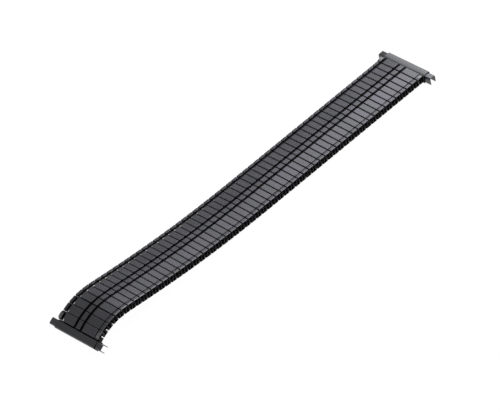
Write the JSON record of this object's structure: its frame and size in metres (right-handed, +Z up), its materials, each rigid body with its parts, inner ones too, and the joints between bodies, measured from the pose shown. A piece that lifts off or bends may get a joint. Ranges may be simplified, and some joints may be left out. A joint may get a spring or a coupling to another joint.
{
  "type": "expansion watch band",
  "caption": "Black steel expansion watch band of two rows of spring-loaded sleeves joined by side staples, with self-adjusting telescopic end pieces.",
  "frame": {"origin": "middle of the band's box, on the surface that it lies on", "axes": "+X along the band towards the end piece that lies flat, +Y across the band, +Z up"},
  "size_m": [0.1482, 0.022, 0.0079],
  "materials": {
    "shell_black": "black coated, satin",
    "sleeve_black": "black coated, satin",
    "staple_black": "black coated, satin",
    "housing_black": "black coated, satin",
    "slide_black": "black coated, satin",
    "spring_steel": "bare spring steel"
  },
  "bodies": {
    "segment_1": {"shells_1": "shell_black", "sleeves_1": "sleeve_black", "leaf_springs_1": "spring_steel", "staples_1": "staple_black", "right_housing": "housing_black", "right_hook": "sleeve_black", "right_coil": "spring_steel"},
    "segment_2": {"shells_2": "shell_black", "sleeves_2": "sleeve_black", "leaf_springs_2": "spring_steel", "staples_2": "staple_black"},
    "segment_3": {"shells_3": "shell_black", "sleeves_3": "sleeve_black", "leaf_springs_3": "spring_steel", "staples_3": "staple_black"},
    "segment_4": {"shells_4": "shell_black", "sleeves_4": "sleeve_black", "leaf_springs_4": "spring_steel", "staples_4": "staple_black"},
    "segment_5": {"shells_5": "shell_black", "sleeves_5": "sleeve_black", "leaf_springs_5": "spring_steel", "staples_5": "staple_black"},
    "segment_6": {"shells_6": "shell_black", "sleeves_6": "sleeve_black", "leaf_springs_6": "spring_steel", "staples_6": "staple_black"},
    "segment_7": {"shells_7": "shell_black", "sleeves_7": "sleeve_black", "leaf_springs_7": "spring_steel", "staples_7": "staple_black"},
    "segment_8": {"shells_8": "shell_black", "sleeves_8": "sleeve_black", "leaf_springs_8": "spring_steel", "staples_8": "staple_black"},
    "segment_9": {"shells_9": "shell_black", "sleeves_9": "sleeve_black", "leaf_springs_9": "spring_steel", "staples_9": "staple_black"},
    "segment_10": {"shells_10": "shell_black", "sleeves_10": "sleeve_black", "leaf_springs_10": "spring_steel", "staples_10": "staple_black"},
    "segment_11": {"shells_11": "shell_black", "sleeves_11": "sleeve_black", "leaf_springs_11": "spring_steel", "staples_11": "staple_black", "left_housing": "housing_black", "left_hook": "sleeve_black", "left_coil": "spring_steel"},
    "swing_2": {"swing_staples_2": "staple_black"},
    "swing_5": {"swing_staples_5": "staple_black"},
    "swing_8": {"swing_staples_8": "staple_black"},
    "right_near_slide": {"right_near_slide": "slide_black"},
    "right_far_slide": {"right_far_slide": "slide_black"},
    "left_near_slide": {"left_near_slide": "slide_black"},
    "left_far_slide": {"left_far_slide": "slide_black"}
  },
  "joints": [
    {"name": "flex_1", "type": "hinge", "parent": "segment_1", "child": "segment_2", "pos_m": [0.05505, 0, 0.0003], "axis": [0, -1, 0], "range_deg": [-3, 30], "deforming": ["leaf_springs_2"]},
    {"name": "stretch_2", "type": "slide", "parent": "segment_2", "child": "segment_3", "axis": [-1, 0, 0], "range_m": [0, 0.00126], "stiffness_N_per_m": 300, "springref_m": -0.004, "deforming": ["leaf_springs_3"]},
    {"name": "staple_swing_2", "type": "hinge", "parent": "segment_2", "child": "swing_2", "pos_m": [0.03968, 0, 0.00268], "axis": [0, 1, 0], "range_deg": [0, 38.2]},
    {"name": "flex_3", "type": "hinge", "parent": "segment_3", "child": "segment_4", "pos_m": [0.02565, 0, 0.0003], "axis": [0, -1, 0], "range_deg": [-3, 30], "deforming": ["leaf_springs_4"]},
    {"name": "flex_4", "type": "hinge", "parent": "segment_4", "child": "segment_5", "pos_m": [0.01095, 0, 0.0003], "axis": [0, -1, 0], "range_deg": [-3, 30], "deforming": ["leaf_springs_5"]},
    {"name": "stretch_5", "type": "slide", "parent": "segment_5", "child": "segment_6", "axis": [-0.9999, 0, 0.0149], "range_m": [0, 0.00126], "stiffness_N_per_m": 300, "springref_m": -0.004, "deforming": ["leaf_springs_6"]},
    {"name": "staple_swing_5", "type": "hinge", "parent": "segment_5", "child": "swing_5", "pos_m": [-0.00439, 0, 0.00275], "axis": [0, 1, 0], "range_deg": [0, 38.2]},
    {"name": "flex_6", "type": "hinge", "parent": "segment_6", "child": "segment_7", "pos_m": [-0.01844, 0, 0.00078], "axis": [0, -1, 0], "range_deg": [-3, 30], "deforming": ["leaf_springs_7"]},
    {"name": "flex_7", "type": "hinge", "parent": "segment_7", "child": "segment_8", "pos_m": [-0.03066, 0, 0.00155], "axis": [0, -1, 0], "range_deg": [-3, 30], "deforming": ["leaf_springs_8"]},
    {"name": "stretch_8", "type": "slide", "parent": "segment_8", "child": "segment_9", "axis": [-0.9936, 0, 0.1126], "range_m": [0, 0.00126], "stiffness_N_per_m": 300, "springref_m": -0.004, "deforming": ["leaf_springs_9"]},
    {"name": "staple_swing_8", "type": "hinge", "parent": "segment_8", "child": "swing_8", "pos_m": [-0.04326, 0, 0.00517], "axis": [0, 1, 0], "range_deg": [0, 38.2]},
    {"name": "flex_9", "type": "hinge", "parent": "segment_9", "child": "segment_10", "pos_m": [-0.05259, 0, 0.00389], "axis": [0, -1, 0], "range_deg": [-3, 30], "deforming": ["leaf_springs_10"]},
    {"name": "flex_10", "type": "hinge", "parent": "segment_10", "child": "segment_11", "pos_m": [-0.06234, 0, 0.00474], "axis": [0, -1, 0], "range_deg": [-3, 25], "deforming": ["leaf_springs_11"]},
    {"name": "right_near_slide_in", "type": "slide", "parent": "segment_1", "child": "right_near_slide", "axis": [0, 1, 0], "range_m": [0, 0.0025], "stiffness_N_per_m": 200, "springref_m": -0.002, "deforming": ["right_coil"]},
    {"name": "right_far_slide_in", "type": "slide", "parent": "segment_1", "child": "right_far_slide", "axis": [0, -1, 0], "range_m": [0, 0.0025], "stiffness_N_per_m": 200, "springref_m": -0.002},
    {"name": "left_near_slide_in", "type": "slide", "parent": "segment_11", "child": "left_near_slide", "axis": [0, 1, 0], "range_m": [0, 0.0025], "stiffness_N_per_m": 200, "springref_m": -0.002, "deforming": ["left_coil"]},
    {"name": "left_far_slide_in", "type": "slide", "parent": "segment_11", "child": "left_far_slide", "axis": [0, -1, 0], "range_m": [0, 0.0025], "stiffness_N_per_m": 200, "springref_m": -0.002}
  ],
  "couplings": [
    {"joint": "staple_swing_2", "follows": "stretch_2", "rad_per_m": 528.04},
    {"joint": "staple_swing_5", "follows": "stretch_2", "rad_per_m": 528.04},
    {"joint": "stretch_5", "follows": "stretch_2", "ratio": 1},
    {"joint": "staple_swing_8", "follows": "stretch_2", "rad_per_m": 528.04},
    {"joint": "stretch_8", "follows": "stretch_2", "ratio": 1}
  ]
}
